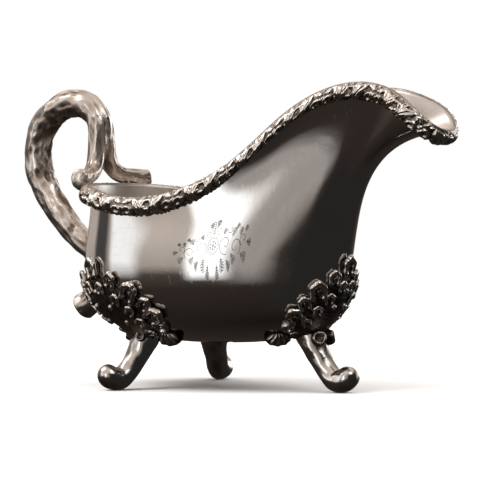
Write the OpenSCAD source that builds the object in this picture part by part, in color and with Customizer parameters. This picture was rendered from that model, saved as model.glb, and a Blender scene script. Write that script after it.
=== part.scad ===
// Three-footed silver-plated sauce boat: raised bowl, applied border, forked scroll handle,
// three cast legs under leaf mounts. Millimetres. The spout points along +X and Z is up.

/* [Bowl] */

// Height of the widest ring of the bowl
belly_z = 50; // [40:0.5:60]
// Height of the underside of the bowl
bottom_z = 18; // [10:0.5:26]
// Fullness of the bottom: 2 is an ellipse, higher is squarer
fullness = 2.7; // [2:0.1:4]
// Centre of the bottom, forward of the rear circle
bottom_x = 20; // [10:0.5:30]
// Thickness of the metal
wall = 1; // [0.8:0.1:2]
// How much lower the left side of the lip sits
lip_drop = 2; // [0:0.1:4]

/* [Border] */

// Height of the applied border, measured down the wall
border_h = 7; // [4:0.5:10]
// How far the border stands out from the wall
border_t = 4.2; // [2:0.1:6]
// Depth of the scallops along the border
scallop = 0.7; // [0:0.1:1.2]
// Number of scallops on each half
scallops = 27; // [10:1:40]

/* [Handle] */

// Thickness of the handle relative to the drawn one
handle_scale = 1; // [0.8:0.05:1.2]
// Radius of the two branches at the top end
branch_r = 3.4; // [2:0.1:5]

/* [Feet] */

// Direction the rear legs point, from straight ahead
rear_leg_dir = 114; // [90:1:150]
// Distance from the leg root to the toe
toe_reach = 16; // [10:0.5:24]
// Radius of the ball on the toe
toe_r = 5; // [3:0.1:7]
// Size of the lobes of the leaf mounts
lobe_r = 3; // [2:0.1:5]
// Widest turn of the front leaf from its middle, in degrees
front_spread = 18; // [16:1:20]
// Widest turn of a rear leaf from its middle, in degrees
rear_spread = 35; // [32:1:36]
// Height of the top lobe of the front leaf
front_top = 48.5; // [46:0.5:50]
// Height of the top lobe of a rear leaf
rear_top = 47.5; // [46:0.5:50]
// Half thickness of the leaf between the lobes
web_r = 1.7; // [1:0.1:3]

/* [Hidden] */

// The origin sits below the middle of the overall length.
origin_x = 22.04;
columns = 2;
bowl_rows = 8;
wall_rows = 9;
border_rows = 3;

// Outline of the rim, rear to tip, one side.
RIM = [[-37, 0, 80.4], [-34.7, 12.8, 80.3], [-28, 24.2, 79.4], [-18, 32.3, 77.8],
    [-6, 36.5, 75.4], [6, 36.8, 74.7], [18, 35.9, 76], [30, 33.8, 79.8], [42, 30.3, 86.2],
    [54, 26.2, 96.4], [66, 21.7, 107.4], [78, 17, 114.9], [89, 13, 117.9], [98, 11, 117.5],
    [107, 11, 114.6], [115, 12.2, 109.6], [120.6, 10, 103.8], [124, 5.2, 100], [125, 0, 99.2]];
// Outline of the widest ring, rear to front, one side.
BELLY = [[-38.7, 0], [-36.3, 13.4], [-29.5, 25.6], [-19.2, 34.4], [-6.5, 39], [6, 39.8],
    [17, 39], [27.5, 37.3], [37.5, 34.5], [46.5, 31], [54.5, 27], [61, 22.8], [66.3, 18.6],
    [70.5, 14.8], [73.8, 11.2], [76.2, 7.9], [77.6, 5], [78.2, 2.4], [78.4, 0]];
// Middle line of the handle: X, Z and radius, from the curled tail to the fork.
HANDLE = [[-51.4, 30.6, 5.4], [-46.6, 33.8, 5.2], [-41.5, 41, 5], [-41.5, 49, 5], [-47, 54.5, 5.2],
    [-55.3, 60.5, 5.4], [-62, 67.5, 5.6], [-69, 76, 5.8], [-73.5, 84, 6.1], [-75.3, 93, 6.2],
    [-74, 101, 6.1], [-70, 107.3, 6.1], [-63, 112.3, 6.1], [-54.5, 114.2, 6],
    [-47, 112, 5.9], [-42.5, 107, 5.6], [-41.2, 101, 5.2], [-41.3, 95.5, 4.6]];
// Middle line of a branch of the fork.
BRANCH = [[-41.2, 2.6, 99], [-41.2, 3.4, 93.5], [-40.8, 5.2, 88.3], [-39.5, 9.2, 85],
    [-37.6, 14.2, 83.9], [-35.8, 20.4, 83.3]];
// Middle line of a leg: distance outward, height, radius.
LEG = [[-4.5, 27, 5.6], [-2, 22, 5.4], [0.5, 17.5, 4.6], [3.4, 12.4, 3.8], [7, 7.1, 3.9],
    [11, 4.4, 4.3], [14.2, 4.5, 4.6], [16.4, 6.6, 4.7]];
// Lobes of the front mount: turn from its middle, height, size.
lobe_count = 7;     // lobes on half a leaf, the middle one included
lobe_swing = 125;   // degrees that the edge of the leaf swings through
leaf_low = 21.5;    // height of the lowest lobe
FRONT_LOBES = lobe_row(front_spread, front_top);
// Lobes of a rear mount.
REAR_LOBES = lobe_row(rear_spread, rear_top);
REAR_DIR = 136;

function flip(p) = [for (i = [0:len(p) - 1]) i == 1 ? -p[i] : p[i]];
function curve(a, b, c, d, t) = 0.5 * (2 * b + (c - a) * t + (2 * a - 5 * b + 4 * c - d) * t * t
    + (3 * b - a - 3 * c + d) * t * t * t);
// Smooth line through the points; on a mirrored one the ends carry on across the middle plane.
function smooth(p, n, mirrored) = let (m = len(p) - 1) concat(
    [for (i = [0:m - 1]) for (k = [0:n - 1]) curve(
        i > 0 ? p[i - 1] : mirrored ? flip(p[1]) : 2 * p[0] - p[1], p[i], p[i + 1],
        i < m - 1 ? p[i + 2] : mirrored ? flip(p[m - 1]) : 2 * p[m] - p[m - 1], k / n)],
    [p[m]]);
function unit(v) = v / norm(v);
function clamp01(t) = min(1, max(0, t));
function ease(t) = t * t * (3 - 2 * t);

function lowered(p) = p[0] > 76 && p[0] < 122
    ? p - [0, 0, lip_drop * sin(180 * (p[0] - 76) / 46)] : p;
half = (len(RIM) - 1) * columns;
rim_left = smooth([for (p = RIM) lowered(p)], columns, true);
rim_right = smooth(RIM, columns, true);
belly = smooth(BELLY, columns, true);
ring = 2 * half;
function side(c) = c <= half ? 1 : -1;
function index(c) = c <= half ? c : ring - c;
function rim_at(c) = side(c) > 0 ? rim_left[index(c)] : flip(rim_right[index(c)]);
function belly_at(c) = let (b = belly[index(c)]) [b[0], side(c) * b[1], belly_z];
function forward(x) = ease(clamp01((x - 30) / 88));

// How the wall meets the rim at each X: forward, sideways and upward share.
LEAVE_X = [[-40, 0], [30, 0.05], [54, 0.3], [66, 0.42], [78, 0.48], [98, 0.48], [107, 0.6],
    [115, 0.78], [120.6, 0.93], [125, 1]];
LEAVE_Y = [[-40, 0.06], [30, 0.06], [54, 0.15], [66, 0.15], [78, 0.1], [89, 0.08], [98, 0.12],
    [107, 0.25], [115, 0.3], [120.6, 0.2], [125, 0]];
LEAVE_Z = [[-40, 1], [30, 1], [54, 0.95], [66, 0.9], [89, 0.86], [98, 0.85], [107, 0.7],
    [115, 0.45], [120.6, 0.22], [125, 0]];
function leave(r) = let (d = norm([r[0] - bottom_x, r[1]]),
    rear = 0.06 * clamp01((30 - r[0]) / 30) * (r[0] - bottom_x) / d)
    unit([lookup(r[0], LEAVE_X) + rear, sign(r[1]) * lookup(r[0], LEAVE_Y)
    * (r[0] < 0 ? abs(r[1]) / d : 1), lookup(r[0], LEAVE_Z)]);
// Point of the wall, t running from the belly to the rim.
function wall_at(c, t) = let (r = rim_at(c), b = belly_at(c), l = norm(r - b),
    f = forward(r[0]), q = 1 - t,
    p1 = b + [0.085 * l * f, 0, l * (0.4 + 0.1 * f)],
    p2 = r - leave(r) * l * (0.42 + 0.06 * f))
    q * q * q * b + 3 * q * q * t * p1 + 3 * q * t * t * p2 + t * t * t * r;
// Point of the bottom, t running from the middle to the belly.
function bowl_at(c, t) = let (b = belly_at(c), f = pow(sin(90 * t), 2 / fullness),
    g = pow(cos(90 * t), 2 / fullness))
    [bottom_x + (b[0] - bottom_x) * f, b[1] * f, belly_z - (belly_z - bottom_z) * g];
// The parameter a given distance down the wall from the rim.
function down(c, d) = let (r = rim_at(c), l = norm(r - belly_at(c)),
    k = 0.42 + 0.06 * forward(r[0])) 1 - d / (3 * l * k);
function outer_at(c, row) = row <= bowl_rows ? bowl_at(c, row / bowl_rows)
    : row <= bowl_rows + wall_rows
    ? wall_at(c, (row - bowl_rows) / wall_rows * down(c, border_h))
    : wall_at(c, down(c, border_h * (1 - (row - bowl_rows - wall_rows) / border_rows)));
rows = bowl_rows + wall_rows + border_rows;
outer = [for (row = [1:rows]) [for (c = [0:ring - 1]) outer_at(c, row)]];

// Outward direction at a grid point.
function out_at(c, row) = let (g = outer, a = g[row][(c + 1) % ring],
    b = g[row][(c + ring - 1) % ring], u = g[min(row + 1, rows - 1)][c], d = g[max(row - 1, 0)][c])
    unit(cross(u - d, a - b));
inner = [for (row = [0:rows - 1]) [for (c = [0:ring - 1]) outer[row][c] - wall * out_at(c, row)]];

function flat(grid) = [for (row = grid) for (p = row) p];
function id(row, c, n) = row * n + (c % n);
// Two triangles for every cell of a closed grid.
function skin(rows, n, start, turned) = [for (row = [0:rows - 2]) for (c = [0:n - 1])
    let (a = start + id(row, c, n), b = start + id(row, c + 1, n),
        d = start + id(row + 1, c, n), e = start + id(row + 1, c + 1, n))
    each turned ? [[a, e, b], [a, d, e]] : [[a, b, e], [a, e, d]]];

module body_shell() {
    n = rows * ring;
    points = concat(flat(outer), flat(inner),
        [[bottom_x, 0, bottom_z], [bottom_x, 0, bottom_z + wall]]);
    faces = concat(skin(rows, ring, 0, false), skin(rows, ring, n, true),
        [for (c = [0:ring - 1]) [2 * n, id(0, c + 1, ring), id(0, c, ring)]],
        [for (c = [0:ring - 1]) [2 * n + 1, n + id(0, c, ring), n + id(0, c + 1, ring)]],
        [for (c = [0:ring - 1]) let (a = (rows - 1) * ring + c, b = id(rows - 1, c + 1, ring))
            each [[a, b, b + n], [a, b + n, a + n]]]);
    color([0.82, 0.82, 0.84])
        polyhedron(points, faces, convexity = 8);
}

// The lower bowl, filled, for fitting the parts soldered to its outside.
module filled_bowl() {
    top = bowl_rows + 5;
    n = top * ring;
    points = concat([for (row = [0:top - 1]) for (p = outer[row]) p],
        [[bottom_x, 0, bottom_z], [bottom_x, 0, belly_z + 10]]);
    faces = concat(skin(top, ring, 0, false),
        [for (c = [0:ring - 1]) [n, id(0, c + 1, ring), id(0, c, ring)]],
        [for (c = [0:ring - 1]) [n + 1, id(top - 1, c, ring), id(top - 1, c + 1, ring)]]);
    polyhedron(points, faces, convexity = 6);
}

// Section of the border: outward distance, distance down the wall.
BORDER = [[0.35, -0.25], [0.8, -0.05], [1, 0.25], [0.95, 0.55], [0.72, 0.82], [0.35, 0.98]];
function border_section(c, i) = let (g = rows - 1, r = outer[g][c], o = out_at(c, g),
    low = outer[g - border_rows][c], v = (low - r) / border_rows,
    wave = 1 - scallop / border_t * (1 - cos(360 * scallops * i / half)) / 2)
    concat([for (k = [0:border_rows]) outer[g - k][c]],
        [for (k = [len(BORDER) - 1:-1:0]) let (s = BORDER[k],
            base = s[1] < 0 ? r : outer[g - floor(s[1] * border_rows)][c],
            next = s[1] < 0 ? r : outer[g - ceil(s[1] * border_rows)][c],
            m = s[1] * border_rows - floor(s[1] * border_rows))
            (s[1] < 0 ? r + v * s[1] : base + (next - base) * m)
            + o * border_t * s[0] * (k > 0 && k < 5 ? wave : 1)]);
// One half of the border; it starts at column first and covers half the ring.
module border(first) {
    m = border_rows + 1 + len(BORDER);
    points = [for (i = [0:half]) each border_section((first + i) % ring, i)];
    faces = concat([[for (k = [0:m - 1]) k]], [[for (k = [m - 1:-1:0]) half * m + k]],
        [for (i = [0:half - 1]) for (k = [0:m - 1])
            let (a = i * m + k, b = i * m + (k + 1) % m, d = a + m, e = b + m)
            each k < border_rows ? [[a, d, b], [b, d, e]] : [[a, e, b], [a, d, e]]]);
    color([0.7, 0.7, 0.72])
        polyhedron(points, faces, convexity = 8);
}

module rim_border_left() {
    border(0);
}

module rim_border_right() {
    border(half);
}

// A round bar through a list of [x, y, z, radius].
module bar(line) {
    for (i = [0:len(line) - 2])
        hull() {
            translate([line[i][0], line[i][1], line[i][2]])
                sphere(line[i][3], $fn = 14);
            translate([line[i + 1][0], line[i + 1][1], line[i + 1][2]])
                sphere(line[i + 1][3], $fn = 14);
        }
}

module handle_bar() {
    bar([for (p = smooth(HANDLE, 2, false)) [p[0], 0, p[1], p[2] * handle_scale]]);
}

module handle_scroll() {
    color([0.72, 0.71, 0.7])
        difference() {
            handle_bar();
            filled_bowl();
        }
}

module branch(s) {
    line = [for (p = smooth(BRANCH, 2, false)) [p[0], s * p[1], p[2], branch_r]];
    difference() {
        bar(line);
        handle_bar();
        translate([-100, s > 0 ? -50 : 0, 70])
            cube([100, 50, 60]);
        border(s > 0 ? 0 : half);
    }
}

module handle_branch_left() {
    color([0.72, 0.71, 0.7])
        branch(1);
}

module handle_branch_right() {
    color([0.72, 0.71, 0.7])
        branch(-1);
}

function leg_line(root, dir) = [for (p = smooth(LEG, 2, false))
    let (d = p[0] * toe_reach / 16.4) [root[0] + d * cos(dir), root[1] + d * sin(dir), p[1],
        p[2] * (p[0] > 10 ? toe_r / 4.7 : 1)]];
front_root = [63.3, 0];
rear_root = [-2.4, 23.2];

module leg_bar(root, dir) {
    difference() {
        bar(leg_line(root, dir));
        translate([root[0] - 60, root[1] - 60, -20])
            cube([120, 120, 20]);
    }
}

module leg(root, dir) {
    color([0.74, 0.73, 0.73])
        difference() {
            leg_bar(root, dir);
            filled_bowl();
        }
}

module leg_front() {
    leg(front_root, 0);
}

module leg_rear_left() {
    leg(rear_root, rear_leg_dir);
}

module leg_rear_right() {
    leg(flip(rear_root), -rear_leg_dir);
}

// Point of the bowl in a direction from its middle, at a height below the belly.
function bowl_point(dir, z) = let (
    turn = [for (b = belly) atan2(b[1], b[0] - bottom_x)],
    far = [for (i = [0:half]) [-turn[i], norm([belly[i][0] - bottom_x, belly[i][1]])]],
    d = abs(dir), r = lookup(-d, far), g = (belly_z - z) / (belly_z - bottom_z),
    f = pow(sin(acos(pow(g, fullness / 2))), 2 / fullness))
    [bottom_x + r * f * cos(d), sign(dir) * r * f * sin(d), z];

// Turn, height and size of the lobes of half a leaf: the heights fall evenly from the top
// to the leg, and the edge swings out to its widest turn and back in again.
function lobe_row(spread, top) = [for (i = [0:lobe_count - 1])
    [spread * sin(lobe_swing * i / (lobe_count - 1)), top - (top - leaf_low) * i / (lobe_count - 1),
        i % 2 == 0 ? 1.1 : 0.9]];

// Point of a lobe, t running from the leg root to its tip.
function lobe_point(dir, l, t) = bowl_point(dir + l[0] * (0.35 + 0.65 * t), 21 + (l[1] - 21)
    * (0.12 + 0.88 * t));

// A rolled lobe of leaf running up the bowl from the leg root.
module lobe(dir, l) {
    hull() {
        translate(lobe_point(dir, l, 0))
            sphere(lobe_r * 0.8, $fn = 10);
        translate(lobe_point(dir, l, 0.62))
            sphere(lobe_r * 0.7 * l[2], $fn = 10);
    }
    hull() {
        translate(lobe_point(dir, l, 0.62))
            sphere(lobe_r * 0.7 * l[2], $fn = 10);
        translate(lobe_point(dir, l, 1))
            sphere(lobe_r * l[2], $fn = 12);
    }
}

// The sheet of leaf between two neighbouring lobes.
module web(dir, l, m) {
    hull()
        for (p = [lobe_point(dir, l, 0), lobe_point(dir, l, 0.5), lobe_point(dir, m, 0.5)])
            translate(p)
                sphere(web_r, $fn = 6);
    hull()
        for (p = [lobe_point(dir, l, 0.5), lobe_point(dir, m, 0.5), lobe_point(dir, l, 0.9),
            lobe_point(dir, m, 0.9)])
            translate(p)
                sphere(web_r, $fn = 6);
}

module foot_mount(root, dir, lobes, leg_dir) {
    color([0.6, 0.59, 0.58])
        difference() {
            for (s = [-1, 1], i = [0:len(lobes) - 1]) {
                l = [s * lobes[i][0], lobes[i][1], lobes[i][2]];
                if (i > 0 || s > 0)
                    lobe(dir, l);
                if (i > 0)
                    web(dir, l, [s * lobes[i - 1][0], lobes[i - 1][1], 1]);
            }
            leg_bar(root, leg_dir);
            filled_bowl();
        }
}

module foot_mount_front() {
    foot_mount(front_root, 0.001, FRONT_LOBES, 0);
}

module foot_mount_rear_left() {
    foot_mount(rear_root, REAR_DIR, REAR_LOBES, rear_leg_dir);
}

module foot_mount_rear_right() {
    foot_mount(flip(rear_root), -REAR_DIR, REAR_LOBES, -rear_leg_dir);
}

translate([-origin_x, 0, 0]) {
    body_shell();
    rim_border_left();
    rim_border_right();
    handle_scroll();
    handle_branch_left();
    handle_branch_right();
    leg_front();
    leg_rear_left();
    leg_rear_right();
    foot_mount_front();
    foot_mount_rear_left();
    foot_mount_rear_right();
}
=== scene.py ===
import math
import numpy as np
import bpy
from mathutils import Matrix, Vector


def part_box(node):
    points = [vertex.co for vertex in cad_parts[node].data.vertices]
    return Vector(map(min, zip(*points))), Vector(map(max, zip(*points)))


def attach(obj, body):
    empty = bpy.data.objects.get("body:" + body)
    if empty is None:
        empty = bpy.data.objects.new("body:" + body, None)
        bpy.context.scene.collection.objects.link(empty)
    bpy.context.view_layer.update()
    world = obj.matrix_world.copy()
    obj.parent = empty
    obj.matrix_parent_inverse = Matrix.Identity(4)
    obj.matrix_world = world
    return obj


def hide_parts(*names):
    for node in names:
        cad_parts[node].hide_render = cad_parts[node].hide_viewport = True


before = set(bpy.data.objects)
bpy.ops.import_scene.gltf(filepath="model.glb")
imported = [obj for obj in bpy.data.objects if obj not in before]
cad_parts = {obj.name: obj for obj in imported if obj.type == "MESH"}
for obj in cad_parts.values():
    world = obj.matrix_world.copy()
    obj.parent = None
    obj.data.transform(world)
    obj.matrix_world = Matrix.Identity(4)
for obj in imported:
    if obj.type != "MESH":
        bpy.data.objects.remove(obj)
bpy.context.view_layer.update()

# ---------------------------------------------------------------- the bowl's surface
# Half outlines from the back to the tip, in millimetres, the same as the CAD design's.
# Rim: along, across and up; fitted by a separate program and then adjusted
RIM = [(-37, 0, 80.4), (-34.7, 12.8, 80.3), (-28, 24.2, 79.4), (-18, 32.3, 77.8), (-6, 36.5, 75.4),
       (6, 36.8, 74.7), (18, 35.9, 76), (30, 33.8, 79.8), (42, 30.3, 86.2), (54, 26.2, 96.4),
       (66, 21.7, 107.4), (78, 17, 114.9), (89, 13, 117.9), (98, 11, 117.5), (107, 11, 114.6),
       (115, 12.2, 109.6), (120.6, 10, 103.8), (124, 5.2, 100), (125, 0, 99.2)]
# widest ring: along and across, adjusted
BELLY = [(-38.7, 0), (-36.3, 13.4), (-29.5, 25.6), (-19.2, 34.4), (-6.5, 39), (6, 39.8), (17, 39),
         (27.5, 37.3), (37.5, 34.5), (46.5, 31), (54.5, 27), (61, 22.8), (66.3, 18.6), (70.5, 14.8),
         (73.8, 11.2), (76.2, 7.9), (77.6, 5), (78.2, 2.4), (78.4, 0)]
BELLY_Z, BOTTOM_Z = 50.0, 18.0    # heights of the widest ring and of the bottom
BOTTOM_X = 20.0                   # middle of the bottom along the bowl
FULL = 2.7                        # fullness of the lower bowl, 2 is an ellipse
# direction in which the wall meets the rim: along, across and up, against the place along the rim
LEAVE_X = [(-40, 0), (30, 0.05), (54, 0.3), (66, 0.42), (78, 0.48), (98, 0.48), (107, 0.6),
           (115, 0.78), (120.6, 0.93), (125, 1)]
LEAVE_Y = [(-40, 0.06), (30, 0.06), (54, 0.15), (66, 0.15), (78, 0.1), (89, 0.08), (98, 0.12),
           (107, 0.25), (115, 0.3), (120.6, 0.2), (125, 0)]
LEAVE_Z = [(-40, 1), (30, 1), (54, 0.95), (66, 0.9), (89, 0.86), (98, 0.85), (107, 0.7),
           (115, 0.45), (120.6, 0.22), (125, 0)]
# place along X of the CAD model's origin, from the back of the bowl's box
ORIGIN_X = BELLY[0][0] - 1000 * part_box("body_shell")[0][0]
PER = 10                  # samples between two outline points
HALF = (len(RIM) - 1) * PER
RING = 2 * HALF
NB, NW = 56, 76           # rows below and above the belly
NECK_X, NECK_SPAN = 30, 88        # where the spout starts to lean forward, and over what length


def table(x, t):
    """Value of a two-column table at x."""
    return np.interp(x, [p[0] for p in t], [p[1] for p in t])


def ring_spline(left, right):
    """Closed curvature-continuous line: rear, left side, tip, right side."""
    pts = np.array(list(left) + [(p[0], -p[1]) + tuple(p[2:]) for p in right[-2:0:-1]], float)
    n = len(pts)
    a = 4 * np.eye(n) + np.roll(np.eye(n), 1, 0) + np.roll(np.eye(n), -1, 0)
    m = np.linalg.solve(a, 6 * (np.roll(pts, 1, 0) - 2 * pts + np.roll(pts, -1, 0)))
    out = []
    for i in range(n):
        p, q, mp, mq = pts[i], pts[(i + 1) % n], m[i], m[(i + 1) % n]
        for k in range(PER):
            t = k / PER
            s = 1 - t
            out.append(p * s + q * t + ((s ** 3 - s) * mp + (t ** 3 - t) * mq) / 6)
    return blur(np.array(out), 2.5, 0, True)


def blur(a, sigma, axis, wrap):
    """Gaussian blur along an axis; an open one keeps its end rows."""
    r = int(3 * sigma + 1)
    w = np.exp(-0.5 * (np.arange(-r, r + 1) / sigma) ** 2)
    w /= w.sum()
    a = np.moveaxis(a, axis, 0)
    if wrap:
        out = sum(w[k + r] * np.roll(a, -k, 0) for k in range(-r, r + 1))
    else:
        n = len(a)
        pad = np.concatenate([2 * a[0] - a[r:0:-1], a, 2 * a[-1] - a[-2:-r - 2:-1]])
        out = sum(w[k] * pad[k:k + n] for k in range(2 * r + 1))
    return np.moveaxis(out, 0, axis)


def lowered(p, start=76, span=46, drop=2):
    """The left side of the lip sits a little lower."""
    x, y, z = p
    return (x, y, z - (drop * math.sin(math.pi * (x - start) / span) if start < x < start + span else 0))


rim = ring_spline([lowered(p) for p in RIM], RIM)
belly = ring_spline(BELLY, BELLY)
belly = np.c_[belly, np.full(RING, BELLY_Z)]
reach = rim - belly
length = np.linalg.norm(reach, axis=1)[:, None]
fwd = np.clip((rim[:, 0] - NECK_X) / NECK_SPAN, 0, 1)
fwd = (fwd * fwd * (3 - 2 * fwd))[:, None]
dist = np.hypot(rim[:, 0] - BOTTOM_X, rim[:, 1])
rear = 0.06 * np.clip((NECK_X - rim[:, 0]) / NECK_X, 0, 1) * (rim[:, 0] - BOTTOM_X) / dist
side = np.where(rim[:, 0] < 0, np.abs(rim[:, 1]) / dist, 1) * np.tanh(rim[:, 1] / 4)
leave = np.stack([table(rim[:, 0], LEAVE_X) + rear, side * table(rim[:, 0], LEAVE_Y),
                  table(rim[:, 0], LEAVE_Z)], -1)
leave = blur(leave, 4, 0, True)
leave /= np.linalg.norm(leave, axis=1)[:, None]

rows = []
for k in range(1, NB + 1):
    th = math.pi / 2 * k / NB
    f, g = math.sin(th) ** (2 / FULL), math.cos(th) ** (2 / FULL) if k < NB else 0
    rows.append(np.stack([BOTTOM_X + (belly[:, 0] - BOTTOM_X) * f, belly[:, 1] * f,
                          np.full(RING, BELLY_Z - (BELLY_Z - BOTTOM_Z) * g)], -1))
P1 = belly + np.c_[0.085 * length * fwd, 0 * length, length * (0.4 + 0.1 * fwd)]
P2 = rim - leave * length * (0.42 + 0.06 * fwd)
for k in range(1, NW + 1):
    t = k / NW
    s = 1 - t
    rows.append(s ** 3 * belly + 3 * s * s * t * P1 + 3 * s * t * t * P2 + t ** 3 * rim)
SURF = np.array(rows)
SURF[6:] = blur(SURF, 2.0, 0, False)[6:]


def grid_normals(g):
    """Outward unit normals of a grid whose columns wrap."""
    du = np.roll(g, -1, 1) - np.roll(g, 1, 1)
    n = np.cross(np.gradient(g, axis=0), du)
    return n / np.maximum(np.linalg.norm(n, axis=-1, keepdims=True), 1e-9)


NORM = grid_normals(SURF)
TOP_ROW = len(SURF) - 1.002       # just short of the last row, so that it can be interpolated


def at(grid, col, row):
    """Value of a grid at fractional columns and rows; columns wrap."""
    col = np.asarray(col, float) % RING
    row = np.clip(np.asarray(row, float), 0, len(grid) - 1.001)
    c, r = np.floor(col).astype(int), np.floor(row).astype(int)
    fc, fr = (col - c)[..., None], (row - r)[..., None]
    d = (c + 1) % RING
    c = c % RING
    return ((grid[r, c] * (1 - fc) + grid[r, d] * fc) * (1 - fr)
            + (grid[r + 1, c] * (1 - fc) + grid[r + 1, d] * fc) * fr)


BELLY_DIR = np.degrees(np.unwrap(np.arctan2(-belly[:, 1], -(belly[:, 0] - BOTTOM_X))))


def column(direction):
    """Column in a compass direction seen from the middle of the bottom, 0 ahead, + left."""
    turn = (180 - np.asarray(direction, float)) % 360
    t = -BELLY_DIR - (-BELLY_DIR[0])
    return np.interp(turn, np.r_[t, t[0] + 360], np.arange(RING + 1))


def row_of(z):
    """Row of the bowl at a height below the belly."""
    g = np.clip((BELLY_Z - np.asarray(z, float)) / (BELLY_Z - BOTTOM_Z), 0, 1)
    return np.degrees(np.arccos(g ** (FULL / 2))) / 90 * NB - 1


# ---------------------------------------------------------------- mesh helpers
def make(name, verts, faces, mat, node=None, patina=None):
    """An object from points in millimetres in the bowl's frame."""
    v = np.array(verts, float).reshape(-1, 3).copy()
    v[:, 0] -= ORIGIN_X
    mesh = bpy.data.meshes.new(name)
    mesh.from_pydata((v / 1000).tolist(), [], [list(map(int, f)) for f in faces])
    mesh.validate()
    mesh.polygons.foreach_set("use_smooth", [True] * len(mesh.polygons))
    if patina is not None:
        a = mesh.color_attributes.new("relief", "FLOAT_COLOR", "POINT")
        p = np.clip(np.asarray(patina, float).reshape(-1), 0, 1)
        a.data.foreach_set("color", np.stack([p, p, p, np.ones_like(p)], -1).ravel())
    obj = bpy.data.objects.new(name, mesh)
    bpy.context.scene.collection.objects.link(obj)
    for m in (mat if isinstance(mat, list) else [mat]):
        mesh.materials.append(m)
    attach(obj, "root")
    if node:
        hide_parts(node)
    return obj


def cells(nr, nc, wrap, start=0, turned=False):
    """Four-sided faces of a grid of points."""
    r, c = np.meshgrid(np.arange(nr - 1), np.arange(nc if wrap else nc - 1), indexing="ij")
    a, b = r * nc + c, r * nc + (c + 1) % nc
    q = np.stack([a, b, b + nc, a + nc], -1).reshape(-1, 4) + start
    return (q[:, ::-1] if turned else q).tolist()


def noise1(x, seed, octaves=3):
    """Smooth noise of one variable, about -1 to 1."""
    r = np.random.RandomState(seed)
    out = np.zeros_like(x)
    for o in range(octaves):
        ph, fr = r.rand(4) * 6.28, (r.rand(4) + 0.6) * 2 ** o
        out += sum(np.sin(fr[i] * x + ph[i]) for i in range(4)) / 4 / 1.6 ** o
    return out


def spline(points, n):
    """Smooth open line through the points, any number of values each."""
    p = np.array(points, float)
    m = len(p)
    out = []
    for i in range(m - 1):
        a = p[i - 1] if i else 2 * p[0] - p[1]
        d = p[i + 2] if i < m - 2 else 2 * p[-1] - p[-2]
        b, c = p[i], p[i + 1]
        for k in range(n):
            t = k / n
            out.append(0.5 * (2 * b + (c - a) * t + (2 * a - 5 * b + 4 * c - d) * t * t
                              + (3 * b - a - 3 * c + d) * t ** 3))
    out.append(p[-1])
    return np.array(out)


def tube(line, radii, seg, shape=None, start=(0, 1, 0)):
    """Grid of a bar along a line; shape(angles, along) scales the radius."""
    t = np.gradient(line, axis=0)
    t /= np.linalg.norm(t, axis=1)[:, None]
    a = np.array(start, float)
    ang = np.linspace(0, 2 * np.pi, seg, endpoint=False)
    s = np.r_[0, np.cumsum(np.linalg.norm(np.diff(line, axis=0), axis=1))]
    rows = []
    for i, p in enumerate(line):
        a = a - t[i] * (a @ t[i])
        a /= np.linalg.norm(a)
        b = np.cross(t[i], a)
        k = shape(ang, s[i]) if shape is not None else 1
        r = radii[i] * k
        rows.append(p + np.outer(np.cos(ang) * r, a) + np.outer(np.sin(ang) * r, b))
    return np.array(rows), s


def capped(grid):
    """Points and faces of a closed bar from its grid."""
    nr, nc = grid.shape[:2]
    v = np.concatenate([grid.reshape(-1, 3), grid[0].mean(0)[None], grid[-1].mean(0)[None]])
    f = cells(nr, nc, True)
    n = nr * nc
    f += [[n, (c + 1) % nc, c] for c in range(nc)]
    f += [[n + 1, n - nc + c, n - nc + (c + 1) % nc] for c in range(nc)]
    return v, f


# ---------------------------------------------------------------- materials
def nodes_for(name):
    m = bpy.data.materials.new(name)
    m.use_nodes = True
    nt = m.node_tree
    return m, nt, nt.nodes["Principled BSDF"]


def coords(nt, scale=(1, 1, 1), rot=(0, 0, 0)):
    tc = nt.nodes.new("ShaderNodeTexCoord")
    mp = nt.nodes.new("ShaderNodeMapping")
    mp.inputs["Scale"].default_value = scale
    mp.inputs["Rotation"].default_value = rot
    nt.links.new(tc.outputs["Object"], mp.inputs["Vector"])
    return mp.outputs["Vector"]


def noise(nt, vec, scale, detail=3.0, rough=0.55, distortion=0.0):
    n = nt.nodes.new("ShaderNodeTexNoise")
    n.inputs["Scale"].default_value = scale
    n.inputs["Detail"].default_value = detail
    n.inputs["Roughness"].default_value = rough
    n.inputs["Distortion"].default_value = distortion
    nt.links.new(vec, n.inputs["Vector"])
    return n.outputs["Fac"]


def ramp(nt, fac, stops):
    r = nt.nodes.new("ShaderNodeValToRGB")
    e = r.color_ramp.elements
    e[0].position, e[0].color = stops[0][0], tuple(stops[0][1]) + (1,)
    e[1].position, e[1].color = stops[-1][0], tuple(stops[-1][1]) + (1,)
    for pos, col in stops[1:-1]:
        x = e.new(pos)
        x.color = tuple(col) + (1,)
    nt.links.new(fac, r.inputs["Fac"])
    return r.outputs["Color"]


def mix(nt, fac, a, b, mode="MIX"):
    n = nt.nodes.new("ShaderNodeMix")
    n.data_type = "RGBA"
    n.blend_type = mode
    for sock, val in ((n.inputs["Factor"], fac), (n.inputs["A"], a), (n.inputs["B"], b)):
        if hasattr(val, "is_output"):
            nt.links.new(val, sock)
        else:
            sock.default_value = tuple(val) + (1,) if isinstance(val, (tuple, list)) else val
    return [o for o in n.outputs if o.type == "RGBA"][0]


def maprange(nt, fac, a, b, c, d):
    n = nt.nodes.new("ShaderNodeMapRange")
    for k, v in zip(("From Min", "From Max", "To Min", "To Max"), (a, b, c, d)):
        n.inputs[k].default_value = v
    nt.links.new(fac, n.inputs["Value"])
    return n.outputs["Result"]


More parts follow.
